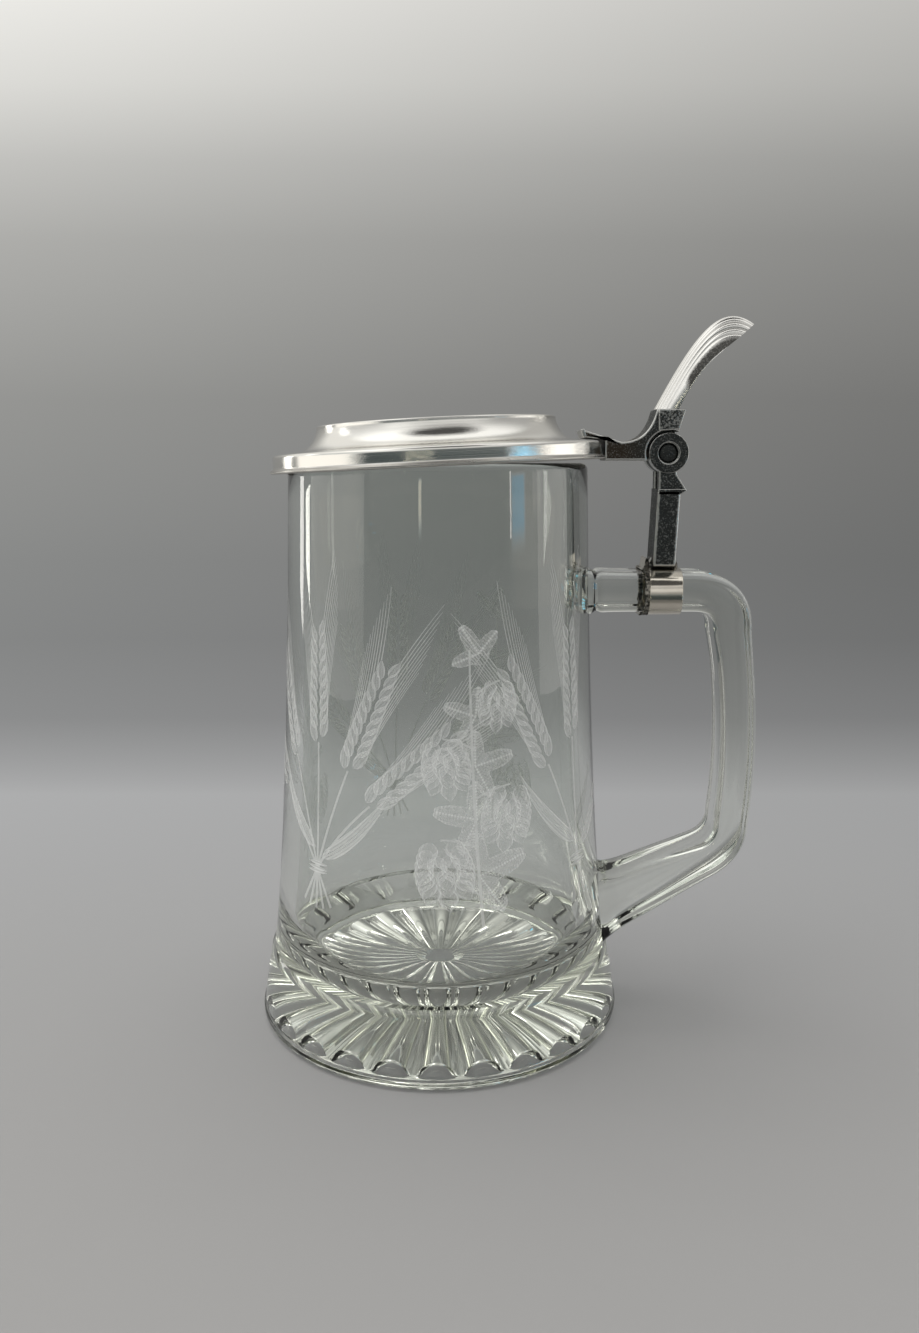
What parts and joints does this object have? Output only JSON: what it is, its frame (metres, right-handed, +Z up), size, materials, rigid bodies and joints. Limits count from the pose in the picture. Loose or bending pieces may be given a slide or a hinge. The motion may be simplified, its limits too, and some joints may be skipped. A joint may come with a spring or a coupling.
{
  "type": "lidded beer stein",
  "caption": "Clear glass beer stein with a flared foot, a squared glass handle and a hinged metal lid that opens by a reeded thumb lift.",
  "frame": {"origin": "centre of the base, on the table plane", "axes": "+Z up, +X toward the handle and the hinge, +Y along the hinge axis"},
  "size_m": [0.1359, 0.1, 0.1882],
  "materials": {
    "clear_glass": "clear pressed glass",
    "nickel": "bright nickel strap",
    "dark_cast": "dark antiqued casting with worn edges",
    "pewter": "satin polished pewter"
  },
  "bodies": {
    "mug": {"glass_body": "clear_glass", "glass_handle": "clear_glass", "handle_band": "nickel", "hinge_post": "dark_cast", "hinge_pin": "dark_cast"},
    "lid": {"lid_shell": "pewter", "lid_bracket": "dark_cast", "thumb_lift": "pewter"}
  },
  "joints": [
    {"name": "lid_hinge", "type": "hinge", "parent": "mug", "child": "lid", "pos_m": [0.0598, 0, 0.1536], "axis": [0, 1, 0], "range_deg": [0, 105]}
  ]
}
